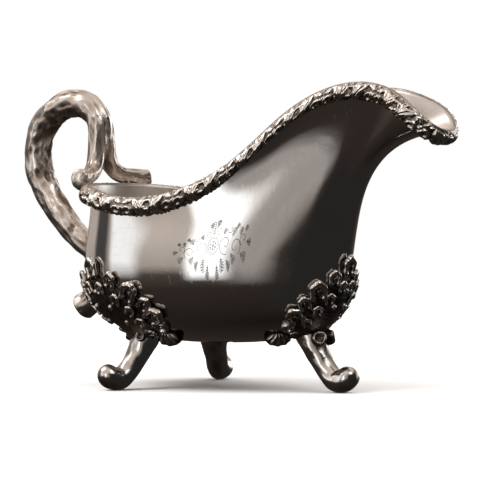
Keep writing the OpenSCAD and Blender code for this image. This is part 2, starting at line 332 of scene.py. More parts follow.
def maths(nt, op, a, b=None):
    n = nt.nodes.new("ShaderNodeMath")
    n.operation = op
    for i, v in enumerate((a, b)):
        if v is None:
            continue
        if hasattr(v, "is_output"):
            nt.links.new(v, n.inputs[i])
        else:
            n.inputs[i].default_value = v
    return n.outputs[0]


def bump(nt, bsdf, height, strength, distance):
    b = nt.nodes.new("ShaderNodeBump")
    b.inputs["Strength"].default_value = strength
    b.inputs["Distance"].default_value = distance
    nt.links.new(height, b.inputs["Height"])
    nt.links.new(b.outputs["Normal"], bsdf.inputs["Normal"])


def polished():
    """Mirror-bright plate: faint tarnish clouds, wiping scratches, tiny dents."""
    m, nt, b = nodes_for("polished_silver")
    b.inputs["Metallic"].default_value = 1.0
    cloud = noise(nt, coords(nt), 38, 4, 0.6, 0.3)
    fine = noise(nt, coords(nt), 420, 3, 0.6)
    scr = noise(nt, coords(nt, (900, 60, 260), (0.2, 0.5, 0.9)), 1.0, 2, 0.5, 0.6)
    scr2 = noise(nt, coords(nt, (70, 800, 700), (0.9, 0.1, 0.35)), 1.0, 2, 0.5, 0.5)
    tint = ramp(nt, cloud, [(0.3, (0.80, 0.775, 0.75)), (0.52, (0.875, 0.865, 0.85)),
                            (0.75, (0.90, 0.893, 0.88))])
    brush = noise(nt, coords(nt, (2600, 260, 900), (0.3, 0.75, 0.5)), 1.0, 3, 0.6, 0.2)
    lines = ramp(nt, scr, [(0.60, (0, 0, 0)), (0.72, (1, 1, 1))])
    lines2 = ramp(nt, scr2, [(0.62, (0, 0, 0)), (0.74, (1, 1, 1))])
    marks = maths(nt, "MAXIMUM", lines, lines2)
    col = mix(nt, maths(nt, "MULTIPLY", marks, 0.16), tint, (0.74, 0.70, 0.66))
    nt.links.new(col, b.inputs["Base Color"])
    r = maths(nt, "ADD", maprange(nt, cloud, 0.3, 0.75, 0.075, 0.035),
              maths(nt, "ADD", maths(nt, "MULTIPLY", marks, 0.10), maths(nt, "MULTIPLY", fine, 0.03)))
    nt.links.new(r, b.inputs["Roughness"])
    h = maths(nt, "ADD", cloud, maths(nt, "ADD", maths(nt, "MULTIPLY", marks, 0.05),
                                      maths(nt, "MULTIPLY", brush, 0.10)))
    bump(nt, b, h, 0.06, 0.0006)
    return m


def satin():
    """The inside of the bowl: wiped to a soft warm sheen."""
    m, nt, b = nodes_for("inside_silver")
    b.inputs["Metallic"].default_value = 1.0
    cloud = noise(nt, coords(nt), 30, 4, 0.6, 0.3)
    grain = noise(nt, coords(nt, (1200, 160, 500), (0.1, 0.4, 0.9)), 1.0, 3, 0.55, 0.2)
    nt.links.new(ramp(nt, cloud, [(0.3, (0.78, 0.72, 0.67)), (0.7, (0.87, 0.83, 0.79))]),
                 b.inputs["Base Color"])
    nt.links.new(maths(nt, "ADD", maprange(nt, cloud, 0.3, 0.7, 0.40, 0.32),
                       maths(nt, "MULTIPLY", grain, 0.06)), b.inputs["Roughness"])
    bump(nt, b, grain, 0.03, 0.0004)
    return m


def cast(name, light, mid, dark, rough, grain=0.35):
    """Cast and chased plate: bright on the high places, dark patina in the hollows."""
    m, nt, b = nodes_for(name)
    b.inputs["Metallic"].default_value = 1.0
    # the relief tone: patina by height, and on the border also painted shade under its roll
    at_ = nt.nodes.new("ShaderNodeAttribute")
    at_.attribute_name = "relief"
    spots = noise(nt, coords(nt), 260, 4, 0.65, 0.2)
    wide = noise(nt, coords(nt), 60, 3, 0.6)
    fine = noise(nt, coords(nt), 1500, 2, 0.6)
    height = maths(nt, "ADD", at_.outputs["Fac"],
                   maths(nt, "MULTIPLY", maths(nt, "SUBTRACT", spots, 0.5), 0.45))
    col = ramp(nt, height, [(0.10, dark), (0.42, mid), (0.72, light)])
    warm = ramp(nt, wide, [(0.35, (0.92, 0.86, 0.80)), (0.65, (1, 1, 1))])
    nt.links.new(mix(nt, 0.8, col, warm, "MULTIPLY"), b.inputs["Base Color"])
    r = maths(nt, "ADD", maprange(nt, height, 0.1, 0.75, rough + 0.26, rough),
              maths(nt, "MULTIPLY", fine, 0.05))
    nt.links.new(r, b.inputs["Roughness"])
    h = maths(nt, "ADD", maths(nt, "MULTIPLY", spots, 1.0), maths(nt, "MULTIPLY", fine, 0.25))
    bump(nt, b, h, grain, 0.0004)
    return m


def engraved():
    """Bright-cut lines: frosted, and dark in colour: painted shade of the cut grooves."""
    m, nt, b = nodes_for("engraved_line_painted_shade")
    b.inputs["Metallic"].default_value = 1.0
    n = noise(nt, coords(nt), 900, 3, 0.6)
    # dark base colour from the noise: painted shade of the cut grooves
    nt.links.new(ramp(nt, n, [(0.35, (0.03, 0.028, 0.026)), (0.52, (0.12, 0.115, 0.11)),
                              (0.72, (0.40, 0.39, 0.38))]), b.inputs["Base Color"])
    nt.links.new(maprange(nt, n, 0.3, 0.7, 0.5, 0.28), b.inputs["Roughness"])
    return m


SILVER = polished()
INSIDE = satin()
BORDER = cast("border_silver", (0.88, 0.85, 0.81), (0.50, 0.45, 0.41), (0.03, 0.023, 0.02), 0.13)
HANDLE = cast("handle_silver", (0.87, 0.83, 0.79), (0.70, 0.63, 0.57), (0.26, 0.21, 0.17), 0.19, 0.5)
LEGMAT = cast("leg_silver", (0.84, 0.81, 0.78), (0.55, 0.50, 0.46), (0.10, 0.08, 0.07), 0.13)
LEAF = cast("leaf_silver", (0.86, 0.84, 0.81), (0.42, 0.38, 0.35), (0.02, 0.016, 0.014), 0.15)
LINE = engraved()

# ---------------------------------------------------------------- bowl
WALL = 1.0


def build_bowl():
    """The shell, polished outside and satin inside."""
    nr = len(SURF)
    inner = SURF - NORM * WALL
    n = nr * RING
    v = np.concatenate([SURF.reshape(-1, 3), inner.reshape(-1, 3),
                        [[BOTTOM_X, 0, BOTTOM_Z], [BOTTOM_X, 0, BOTTOM_Z + WALL]]])
    f = cells(nr, RING, True, 0, True) + cells(nr, RING, True, n)
    top = (nr - 1) * RING
    for c in range(RING):
        d = (c + 1) % RING
        f.append([top + c, top + d, n + top + d, n + top + c][::-1])
        f.append([2 * n, c, d])
        f.append([2 * n + 1, n + d, n + c])
    obj = make("body_shell_smooth", v, f, [SILVER, INSIDE], "body_shell")
    inside = [min(p.vertices) >= n and max(p.vertices) != 2 * n for p in obj.data.polygons]
    obj.data.polygons.foreach_set("material_index", [int(x) for x in inside])
    return obj


# ---------------------------------------------------------------- border
ALONG, ROUND = 1120, 72   # samples along half the border and round its section
REPEAT = 23.5             # rough length of one repeat of the pattern
BAND_MIDDLE = 7.0         # middle of the pattern, from the inner edge of the section


def rim_frame(first, n):
    """Columns, places and outward directions along one half of the rim."""
    c = first + np.linspace(0, HALF, n)
    p = at(SURF, c, np.full(n, TOP_ROW))
    o = at(NORM, c, np.full(n, len(SURF) - 3.0))
    return c, p, o / np.linalg.norm(o, axis=1)[:, None]


def ridge(d, w):
    """Bell curve, 1 at d = 0."""
    return np.exp(-(d / w) ** 2)


def leaf(x, y, ax, ay, bx, by, width, bend):
    """Curled leaf from a to b with a middle vein and notched edges."""
    dx, dy = bx - ax, by - ay
    ln = math.hypot(dx, dy)
    t = ((x - ax) * dx + (y - ay) * dy) / ln ** 2
    u = np.clip(t, 0, 1)
    off = ((x - ax) * -dy + (y - ay) * dx) / ln - bend * 4 * u * (1 - u)
    w = width * np.sqrt(np.clip(np.sin(np.pi * u ** 0.75), 0, 1)) * (1 + 0.10 * np.cos(u * 19))
    inside = np.clip(1 - (np.abs(off) / np.maximum(w, 1e-3)) ** 2, 0, 1) * (t > 0) * (t < 1)
    return (np.sqrt(inside) * 1.25 - 0.45 * ridge(off, 0.3) * inside
            + 0.12 * np.cos(np.abs(off) * 3.4 - u * 15) * inside)


def border_relief(s, w, span, shift):
    """Height of the chased pattern, s along and w across, in millimetres."""
    unit = span / round(span / REPEAT)
    v = w - BAND_MIDDLE + shift + 0.25 * noise1(s * 0.4, 8)
    x = np.mod(s + 0.5 * noise1(s * 0.25, 9) + unit / 2, unit) - unit / 2
    h = np.full_like(x, -1.05)

    def ring(cx, cy, r, tube, centre, petals=0):
        d = np.hypot(x - cx, v - cy)
        a = np.arctan2(v - cy, x - cx)
        body = 1.5 * ridge(d - r - 0.14 * np.cos(a * petals) * (petals > 0), tube) - 0.55
        body = np.maximum(body, centre * ridge(d, r * 0.34) - 0.7)
        return np.where(d < r + 1.6 * tube, body, -1)

    h = np.maximum(h, ring(0, 0.2, 1.95, 0.85, 0.3, 6))
    for sg in (-1, 1):
        h = np.maximum(h, leaf(x, v, sg * 3.1, 4.9, sg * 7.8, -3.4, 2.3, -1.3 * sg) - 0.15)
        h = np.maximum(h, leaf(x, v, sg * 2.5, -4.2, sg * 5.4, 0.6, 1.45, 0.8 * sg) - 0.25)
        h = np.maximum(h, ring(sg * 9.2, 1.9, 1.6, 0.8, 0.9))
        h = np.maximum(h, leaf(x, v, sg * 7.9, -4.4, sg * 11.4, -1.0, 1.3, 0.6 * sg) - 0.25)
        for bx, by, r in ((sg * 5.9, 5.0, 1.1), (sg * unit / 2, 4.4, 1.15), (sg * 1.6, 4.7, 0.95),
                          (sg * unit / 2, 0.6, 1.2), (sg * unit / 2, -3.6, 1.1), (sg * 0.2, -3.9, 0.9),
                          (sg * 8.0, 5.2, 0.9)):
            h = np.maximum(h, 1.5 * ridge(np.hypot(x - bx, v - by), r) - 0.6)
    edge = 0.1 + 0.35 * np.abs(np.sin(np.pi * s / 2.6))
    low = np.clip((v - 5.6) / 0.5, 0, 1)
    h = h * (1 - low) + (edge - 0.5 * (v > 6.8)) * low
    top = np.clip((2.7 - w) / 0.5, 0, 1)
    h = h * (1 - top) + 0.15 * top
    return blur(blur(h, 0.9, 0, False), 0.9, 1, False)


def build_border(name, first, node):
    """Half of the applied border: a rolled section with the chased pattern on it."""
    n, m = ALONG, ROUND
    c, p, o = rim_frame(first, n)
    s = np.r_[0, np.cumsum(np.linalg.norm(np.diff(p, axis=0), axis=1))]
    slope = np.linalg.norm(at(SURF, c, np.full(n, len(SURF) - 1.01))
                           - at(SURF, c, np.full(n, len(SURF) - 4.01)), axis=1) / 3
    # profile: from inside the rim, over the top, out and back under to the wall
    phi = np.radians(np.linspace(-128, 96, m))
    prof_o = -0.15 + np.where(np.cos(phi) > 0, 3.95, 1.0) * np.cos(phi)
    prof_d = 3.1 + 3.75 * np.sin(phi)
    prof_o = np.where(phi < -math.pi / 2, -0.15 + 1.35 * np.cos(phi), prof_o)
    wcoord = np.r_[0, np.cumsum(np.hypot(np.diff(prof_o), np.diff(prof_d)))]
    no, nd = np.gradient(prof_d), -np.gradient(prof_o)
    nl = np.hypot(no, nd)
    no, nd = no / nl, nd / nl
    S, W = np.meshgrid(s, wcoord, indexing="ij")
    span = s[-1]
    tilt = blur(np.arcsin(np.clip(-o[:, 2], -1, 1)), 12, 0, False)
    h = border_relief(S, W, span, np.clip(2.4 * tilt + 0.2, 0, 2.0)[:, None])
    h = h + 0.05 * noise1(S * 1.7 + W * 2.1, 3)
    fade = np.clip(np.minimum(W, wcoord[-1] - W) / 0.9, 0, 1)
    h = h * fade
    po = prof_o[None] + no[None] * h
    pd = prof_d[None] + nd[None] * h
    row = TOP_ROW - np.maximum(pd, 0) / slope[:, None]
    cc = np.repeat(c[:, None], m, 1)
    base = at(SURF, cc, row)
    nrm = at(NORM, cc, np.minimum(row, len(SURF) - 3.0))
    nrm /= np.linalg.norm(nrm, axis=-1, keepdims=True)
    up = (p - at(SURF, c, np.full(n, len(SURF) - 5.0)))
    up /= np.linalg.norm(up, axis=1)[:, None]
    pos = base + nrm * po[..., None] + up[:, None] * np.maximum(-pd, 0)[..., None]
    # tone from the relief's height, bright on high places; the second factor darkens it towards the
    # underside of the roll, which is painted shade under the border
    relief = np.clip(0.34 + h * 0.56, 0, 1) * np.clip(1.25 - 0.03 * W, 0, 1)
    # back strip, just inside the wall
    back = np.stack([at(SURF, c, TOP_ROW - 5.8 / slope) - o * 0.5,
                     at(SURF, c, TOP_ROW - 0.9 / slope) - o * 0.5], 1)
    grid = np.concatenate([pos, back], 1)
    pat = np.concatenate([relief, np.zeros((n, 2))], 1)
    k = m + 2
    f = cells(n, k, True)
    f += [list(range(k)), list(range((n - 1) * k, n * k))[::-1]]
    return make(name, grid.reshape(-1, 3), f, BORDER, node, pat)


# ---------------------------------------------------------------- handle
# middle lines: along, across, up and radius; the handle's is rounded from fitted points
HANDLE_LINE = [(-51.4, 0, 30.6, 5.6), (-46.6, 0, 33.8, 5.3), (-42.2, 0, 41, 5.1), (-42, 0, 49, 5),
               (-47, 0, 54.5, 5.2), (-55.3, 0, 60.5, 5.4), (-62, 0, 67.5, 5.6), (-69, 0, 76, 5.8),
               (-73.5, 0, 84, 6.1), (-75.3, 0, 93, 6.2), (-74, 0, 101, 6.1), (-70, 0, 107.3, 6.1),
               (-63, 0, 112.4, 6.1), (-54.5, 0, 114.0, 6), (-47, 0, 112, 5.8), (-42.6, 0, 107, 5.4),
               (-41.4, 0, 101, 4.9), (-41.3, 0, 96.5, 4.2)]
BRANCH_LINE = [(-45.2, 1.2, 110.4, 4.0), (-42.2, 1.7, 106, 4.3), (-41.2, 2.4, 100, 4.2),
               (-41.2, 3.4, 93.5, 3.9), (-40.8, 5.4, 88, 3.7), (-39.6, 9.2, 84.9, 3.5),
               (-37.9, 13.6, 83.9, 3.45), (-36.6, 17.2, 83.5, 3.6), (-35.6, 20.4, 83.2, 3.8),
               (-35.2, 21.6, 83.2, 3.8)]


DENTS, DENTED = 1500, 235     # number of dents, and the length that they are spread over
BAR_R = 5.6                   # mean radius of the handle's bar


def hammered(amount, seed, ridges=0.0):
    """Low dents and lengthwise ribs on a cast bar."""
    r = np.random.RandomState(seed)
    cs, ca, cr = r.rand(DENTS) * DENTED, r.rand(DENTS) * 2 * np.pi, 0.7 + 0.8 * r.rand(DENTS)

    def shape(ang, s):
        out = np.ones_like(ang)
        near = np.abs(cs - s) < 5
        for x, a, w in zip(cs[near], ca[near], cr[near]):
            d = np.angle(np.exp(1j * (ang - a))) * BAR_R
            out -= amount * np.exp(-(((x - s) * 0.55) ** 2 + d * d) / w ** 2) / BAR_R
        out += ridges * (np.sin(ang * 7 + s * 0.12) + 0.6 * np.sin(ang * 13 - s * 0.2 + 1)) / BAR_R
        return out
    return shape


def build_handle():
    """The scroll handle, from its tail at the back of the bowl to its forked top."""
    q = blur(spline(HANDLE_LINE, 22), 4, 0, False)
    grid, _ = tube(q[:, :3], q[:, 3], 80, hammered(0.24, 11, 0.05))
    pat = padded(radial_relief(grid, q[:, :3], q[:, 3]))
    v, f = capped(domed(grid, q[:, :3], q[:, 3], 0.3, 0.6))
    pat = np.r_[pat.ravel(), 0.5, 0.5]
    return make("handle_scroll_cast", outside(v), f, HANDLE, "handle_scroll", pat)


CAP = [18, 36, 54, 70, 82]    # rings of a half ball, in degrees


def domed(grid, line, radii, first=1.0, last=1.0):
    """Close both ends of a bar with half balls; 1 is round, 0 is flat."""
    def cap(ring, tangent, r, k):
        c = ring.mean(0)
        a = np.radians(CAP)
        return [c + (ring - c) * math.cos(x) + tangent * r * k * math.sin(x) for x in a]
    t0 = line[0] - line[1]
    t1 = line[-1] - line[-2]
    head = cap(grid[0], t0 / np.linalg.norm(t0), radii[0], first)[::-1]
    tail = cap(grid[-1], t1 / np.linalg.norm(t1), radii[-1], last)
    return np.concatenate([head, grid, tail])


def padded(pat):
    """Carry the end tones of a bar over its half balls."""
    return np.concatenate([np.repeat(pat[:1], len(CAP), 0), pat, np.repeat(pat[-1:], len(CAP), 0)])


def outside(v):
    """Keep points out of the inside of the bowl: they stop half way through its wall."""
    v = v.copy()
    d = v[:, :2] - [BOTTOM_X, 0]
    r = np.hypot(d[:, 0], d[:, 1])
    c = column(np.degrees(np.arctan2(d[:, 1], d[:, 0])))
    k = np.array([np.interp(c, np.arange(RING + 1), np.r_[belly[:, i], belly[0, i]]) for i in (0, 1)])
    full = np.hypot(k[0] - BOTTOM_X, k[1])
    g = np.clip((BELLY_Z - v[:, 2]) / (BELLY_Z - BOTTOM_Z), 0, 1)
    lim = full * np.sin(np.arccos(g ** (FULL / 2))) ** (2 / FULL) - 0.5
    low = (v[:, 2] > BOTTOM_Z) & (v[:, 2] < BELLY_Z) & (r < lim)
    f = np.clip(r / full, 0, 1)
    zs = BELLY_Z - (BELLY_Z - BOTTOM_Z) * np.cos(np.arcsin(f ** (FULL / 2))) ** (2 / FULL) + 0.5
    flat = low & (v[:, 2] < 32)
    v[flat, 2] = np.minimum(v[flat, 2], zs[flat])
    wall = low & ~flat
    v[wall, :2] = np.array([BOTTOM_X, 0]) + d[wall] * (lim[wall] / r[wall])[:, None]
    rear = np.interp(v[:, 2], SURF[NB:, 0, 2], SURF[NB:, 0, 0]) + 0.5
    high = (v[:, 2] >= BELLY_Z) & (v[:, 2] < 74) & (v[:, 0] < 0) & (np.abs(v[:, 1]) < 9)
    v[high, 0] = np.minimum(v[high, 0], rear[high])
    return v


def radial_relief(grid, line, radii):
    """Tone of a bar: bright where it stands proud of its radius."""
    r = np.linalg.norm(grid - line[:, None], axis=-1) / radii[:, None]
    return np.clip(0.66 + (r - 0.98) * 6, 0, 1)


def build_branch(name, sy, node):
    """One branch of the fork, sy 1 on the left and -1 on the right."""
    q = spline(BRANCH_LINE, 16)
    q[:, 1] *= sy
    q = blur(q, 3, 0, False)
    grid, s = tube(q[:, :3], q[:, 3], 56, hammered(0.20, 23 if sy > 0 else 31, 0.04))
    pat = padded(radial_relief(grid, q[:, :3], q[:, 3]))
    # the end spreads down on to the border
    near = np.clip((s - s[-1] + 8) / 6, 0, 1)[:, None]
    dz = grid[..., 2] - q[:, 2][:, None]
    grid[..., 2] += np.minimum(dz, 0) * 0.35 * near
    v, f = capped(domed(grid, q[:, :3], q[:, 3], 0.5, 0.35))
    return make(name, v, f, HANDLE, node, np.r_[pat.ravel(), 0.5, 0.5])


# ---------------------------------------------------------------- legs
# middle line of a leg: outward, up and radius
LEG_LINE = [(-4.6, 27.5, 6.2), (-2.4, 23, 6.2), (0.2, 18, 5.6), (3.0, 12.8, 4.7), (6.2, 8.4, 4.35),
            (9.3, 5.3, 4.5), (12.0, 4.75, 4.7), (14.4, 5.3, 4.75), (15.3, 5.9, 4.7)]
# root of each leg, direction of the leg and direction of its leaf from the middle of the bottom
ROOTS = {"front": ((63.3, 0.0), 0.0, 0.0), "rear_left": ((-2.4, 23.2), 114.0, 136.0),
         "rear_right": ((-2.4, -23.2), -114.0, -136.0)}


def leg_point(root, ang, r, side, z):
    """Point r outward from a leg's root and side to its left, at height z."""
    c, s = math.cos(math.radians(ang)), math.sin(math.radians(ang))
    return np.array([root[0] + r * c - side * s, root[1] + r * s + side * c, z])


def build_leg(key):
    """One leg with its scrolled toe, from LEG_LINE."""
    root, ang, _ = ROOTS[key]
    q = blur(spline(LEG_LINE, 16), 4, 0, False)
    line = np.array([leg_point(root, ang, r, 0, z) for r, z, _ in q])
    s_, c_ = math.sin(math.radians(ang)), math.cos(math.radians(ang))

    def shape(a, s):
        # wide from the front, with a soft groove down each side of a middle rib
        base = 1 / np.sqrt((np.cos(a) / 1.04) ** 2 + (np.sin(a) / 0.94) ** 2)
        up = np.clip(1 - s / 26, 0, 1)
        rib = 0.05 * ridge(np.angle(np.exp(1j * (a + np.pi / 2))), 0.3)
        groove = 0.075 * (ridge(np.angle(np.exp(1j * (a + np.pi / 2 - 0.75))), 0.28)
                          + ridge(np.angle(np.exp(1j * (a + np.pi / 2 + 0.75))), 0.28))
        wob = 0.012 * np.sin(a * 5 + s * 0.9) + 0.012 * np.sin(a * 3 - s * 0.7)
        return base + (rib - groove) * up + wob
    grid, s = tube(line, q[:, 2], 64, shape, (-s_, c_, 0))
    pat = padded(radial_relief(grid, line, q[:, 2]))
    v, f = capped(domed(grid, line, q[:, 2], 0.3, 1.0))
    v = outside(v)
    v[:, 2] -= (v[:, 2].min() + 0.05) * np.clip((12 - v[:, 2]) / 12, 0, 1)
    v[:, 2] = np.maximum(v[:, 2], 0)      # rests flat on the table
    return make("leg_%s_cast" % key, v, f, LEGMAT, "leg_" + key,
                np.r_[pat.ravel(), 0.5, 0.5])


# ---------------------------------------------------------------- leaf mounts
LOBES = 7                 # lobes on half a leaf, the middle one included
SWING = 125.0             # degrees that the edge of the leaf swings through
LEAF_LOW = 21.5           # height of the lowest lobe
LEAF_ROOT = 23.5          # height at which the leaf springs from the leg
# widest turn, top height, lobe size, half angle of the sheet, sheet columns
FRONT_LEAF = (18, 48.5, 3.2, 26.0, 210)
REAR_LEAF = (35, 47.5, 3.5, 45.0, 280)
SHEET_ROWS, SHEET_BACK = 170, 0.8


def lobe_row(spread, top, count=LOBES, first=0.0):
    """Turn and height of each lobe of half a leaf: even steps down, swinging out and back in."""
    t = (np.arange(count) + first) / (count - 1 + 2 * first)
    return [(spread * math.sin(math.radians(SWING * u)), top - (top - LEAF_LOW) * u) for u in t]


def leaf_parts(spread, top, size):
    """The lobes along the edge, and the smaller scrolls and beads inside it."""
    edge = [(t, z, size * (1.12 if k % 2 == 0 else 0.84), "scroll")
            for k, (t, z) in enumerate(lobe_row(spread, top))]
    edge[-2] = edge[-2][:2] + (0.95 * size, "ring")
    edge[-1] = edge[-1][:2] + (1.5 * size, "shell")
    inner = [(t, z, 0.68 * size, "scroll")
             for t, z in lobe_row(0.62 * spread, top - 5.5, LOBES - 2, 0.5)]
    beads = [(t, z, 0.38 * size, "bead") for t, z in lobe_row(0.3 * spread, top - 9, LOBES - 3)[:-1]]
    return edge, inner + beads


def surface_at(direction, z):
    """Point of the lower bowl in a compass direction at a height."""
    return at(SURF, column(direction), row_of(z))


def normal_at(direction, z):
    """Outward normal at the same place."""
    n = at(NORM, column(direction), row_of(z))
    return n / np.linalg.norm(n)


def dome(c, n, out, rx, ry, height, depth=0.8, nr=12, na=40, tone=(0.15, 0.3)):
    """Closed button on the surface; height(rho, x, y) in millimetres."""
    side = np.cross(n, out)
    rho = np.linspace(0, 1, nr + 1)[1:] ** 0.85
    a = np.linspace(0, 2 * np.pi, na, endpoint=False)
    R, A = np.meshgrid(rho, a, indexing="ij")
    x, y = R * np.cos(A), R * np.sin(A)
    h = height(R, x, y)
    g = c + out * (x * rx)[..., None] + side * (y * ry)[..., None] + n * h[..., None]
    rim = g[-1] - n * (h[-1][:, None] + depth)
    g = np.concatenate([g, rim[None]])[::-1]
    v, f = capped(g)
    v[-1] = c + n * float(height(np.array(0.0), np.array(0.0), np.array(0.0)))
    p = np.clip(tone[0] + tone[1] * np.concatenate([h, np.zeros((1, na))])[::-1].ravel(), 0, 1)
    return v, f, np.r_[p, 0.1, 0.6]


def scroll(c, n, out, r, lift=1.0, sweep=138, thick=0.37):
    """A rolled lobe with buttons at both ends, open towards the leg."""
    side = np.cross(n, out)
    a = np.radians(np.linspace(-sweep, sweep, 48))
    t = np.abs(a) / a[-1]
    rr = (r - thick * r * 0.62) * (1 - 0.16 * t ** 3) * (1 + 0.07 * np.cos(a * 6))
    line = (c + out * (1.12 * rr * np.cos(a) - 0.45 * r * t ** 3)[:, None]
            + side * (rr * np.sin(a))[:, None] + n * (lift + 0.24 * r * (1 - t ** 2))[:, None])
    rad = thick * r * (1.0 - 0.42 * t + 0.34 * ridge(t - 0.92, 0.10))
    rad = rad * np.sqrt(np.clip(1 - np.clip((t - 0.93) / 0.07, 0, 0.97) ** 2, 0.06, 1))
    g, _ = tube(line, rad, 18, None, tuple(n))
    v, f = capped(g)
    hgt = ((g - c) @ n) / (lift + rad.max() * 1.6)
    return v, f, np.r_[np.clip(0.05 + 0.85 * hgt, 0, 1).ravel(), 0.5, 0.5]


def sheet_mask(P, start, mid, edge):
    """Where the sheet of the leaf lies: discs under the lobes and a web fanning out from the leg."""
    ax = np.array([math.cos(math.radians(mid + 90)), math.sin(math.radians(mid + 90)), 0])

    def flat(q):
        return np.stack([(q - start) @ ax, q[..., 2] - start[2]], -1)
    plate = np.zeros(P.shape[:2])
    for t, z, r in edge:
        rho = np.linalg.norm(P - surface_at(mid + t, z), axis=-1)
        plate = np.maximum(plate, (rho < r * 0.86).astype(float))
    order = sorted(edge, key=lambda q: math.atan2(q[0], q[1] - 24) if q[1] > 24
                   else math.copysign(2.2 + (24 - q[1]) * 0.1, q[0]))
    F = flat(P)
    pts = [flat(surface_at(mid + t, z)) for t, z, r in order]
    for a, b in zip(pts[:-1], pts[1:]):
        den = a[0] * b[1] - a[1] * b[0]
        if abs(den) > 1e-6:
            u = (F[..., 0] * b[1] - F[..., 1] * b[0]) / den
            w = (a[0] * F[..., 1] - a[1] * F[..., 0]) / den
            plate = np.maximum(plate, ((u >= -0.02) & (w >= -0.02) & (u + w <= 1.0)).astype(float))
    return blur(blur(plate, 1.6, 0, False), 1.6, 1, False)


def sheet_ribs(P, start, mid, edge):
    """Veins from the leg to each lobe, each with a finer one on both sides."""
    ribs = np.zeros(P.shape[:2])
    for t, z, r in edge:
        c = surface_at(mid + t, z)
        p1 = start + (c - start) * 0.5 + np.array([0, 0, 1.2])
        for a, b, w in ((start, p1, 0.8), (p1, c, 0.6)):
            ab = b - a
            tt = np.clip(((P - a) @ ab) / (ab @ ab), 0, 1)
            ribs = np.maximum(ribs, ridge(np.linalg.norm(P - a - tt[..., None] * ab, axis=-1), w))
            for off in (-1.5, 1.5):
                sd = np.cross(ab, normal_at(mid + t, z))
                sd = sd / np.linalg.norm(sd) * off * (0.35 if a is start else 1)
                d2 = np.linalg.norm(P - a - sd - tt[..., None] * ab, axis=-1)
                ribs = np.maximum(ribs, 0.55 * ridge(d2, 0.4))
    return ribs


def sheet_mesh(P, N, h, mask, tone):
    """Closed sheet of the height h over the bowl, where the mask is true."""
    nr, nc = mask.shape
    cell = mask[:-1, :-1] & mask[1:, :-1] & mask[:-1, 1:] & mask[1:, 1:]
    nv = nr * nc
    top, bot = P + N * h[..., None], P - N * SHEET_BACK
    f = []
    for i, j in zip(*np.nonzero(cell)):
        a, b = i * nc + j, i * nc + j + 1
        f.append([a, b, b + nc, a + nc][::-1])
        f.append([nv + a, nv + b, nv + b + nc, nv + a + nc])
        if j == 0 or not cell[i, j - 1]:
            f.append([a, a + nc, nv + a + nc, nv + a][::-1])
        if j == nc - 2 or not cell[i, j + 1]:
            f.append([b + nc, b, nv + b, nv + b + nc][::-1])
        if i == 0 or not cell[i - 1, j]:
            f.append([b, a, nv + a, nv + b][::-1])
        if i == nr - 2 or not cell[i + 1, j]:
            f.append([a + nc, b + nc, nv + b + nc, nv + a + nc][::-1])
    used = np.unique(np.array(f))
    new = np.full(2 * nv, -1)
    new[used] = np.arange(len(used))
    both = np.concatenate([top.reshape(-1, 3), bot.reshape(-1, 3)])
    tone = np.r_[tone.ravel(), np.zeros(nv)]
    return both[used], new[np.array(f)].tolist(), tone[used]


def trim(kind, c, n, out, r):
    """Meshes of one part of the leaf's relief, at c, with out pointing away from the leg."""
    if kind == "scroll":
        return [scroll(c, n, out, r, 0.7 + 0.12 * r),
                dome(c - out * 0.1 * r, n, out, r * 0.8, r * 0.62,
                     lambda q, x, y: 0.5 + 0.5 * np.clip(x + 0.5, 0, 1)
                     + 0.3 * np.cos(np.arctan2(y, x + 1.3) * 16), 0.8, 10, 64, (-0.12, 0.6))]
    if kind == "ring":
        return [dome(c, n, out, r, r, lambda q, x, y: 0.9 + 1.35 * ridge(q - 0.66, 0.24)
                     - 0.4 * ridge(q, 0.3) - 0.9 * np.clip((q - 0.9) / 0.1, 0, 1))]
    if kind == "bead":
        return [dome(c, n, out, r, r, lambda q, x, y: 0.6 + 1.35 * np.sqrt(np.clip(1 - q * q, 0, 1)),
                     0.8, 8, 20)]
    # a ribbed shell hanging under the bowl
    hz = np.array([n[0], n[1], 0.0])
    hz /= np.linalg.norm(hz)
    face = n * 0.75 + hz * 0.95
    face /= np.linalg.norm(face)
    fall = np.array([0, 0, -1.0]) + face * face[2]
    fall /= np.linalg.norm(fall)
    return [dome(c + hz * 0.9 + n * 0.6, face, fall, r * 0.70, r * 1.08,
                 lambda q, x, y: 0.3 + (2.1 + 0.5 * np.cos(np.arctan2(y, x + 1.5) * 24))
                 * np.sqrt(np.clip(1 - q ** 4, 0, 1)), 1.2, 18, 110, (-0.75, 0.6))]


def shoulder_rings(root, leg_dir, size, outward, aside):
    """The ring on each shoulder of the leg."""
    rings = []
    for sg in (1, -1):
        c = leg_point(root, leg_dir, outward, sg * aside, 21.0)
        face = leg_point((0, 0), leg_dir, 0.72, sg * 0.66, 0.12)
        face /= np.linalg.norm(face)
        rings.append(dome(c, face, np.array([0, 0, 1.0]) - face * face[2], size, size,
                          lambda q, x, y: 0.5 + 1.1 * ridge(q - 0.68, 0.22) - 0.5 * ridge(q, 0.34)
                          + 0.35 * ridge(q, 0.16) - 0.8 * np.clip((q - 0.9) / 0.1, 0, 1), 3.4))
    return rings


def joined(parts):
    """One mesh from several: points, faces and tones."""
    faces, count = [], 0
    for v, f, _ in parts:
        faces.extend([[x + count for x in q] for q in f])
        count += len(v)
    return np.concatenate([v for v, _, _ in parts]), faces, np.concatenate([p for _, _, p in parts])


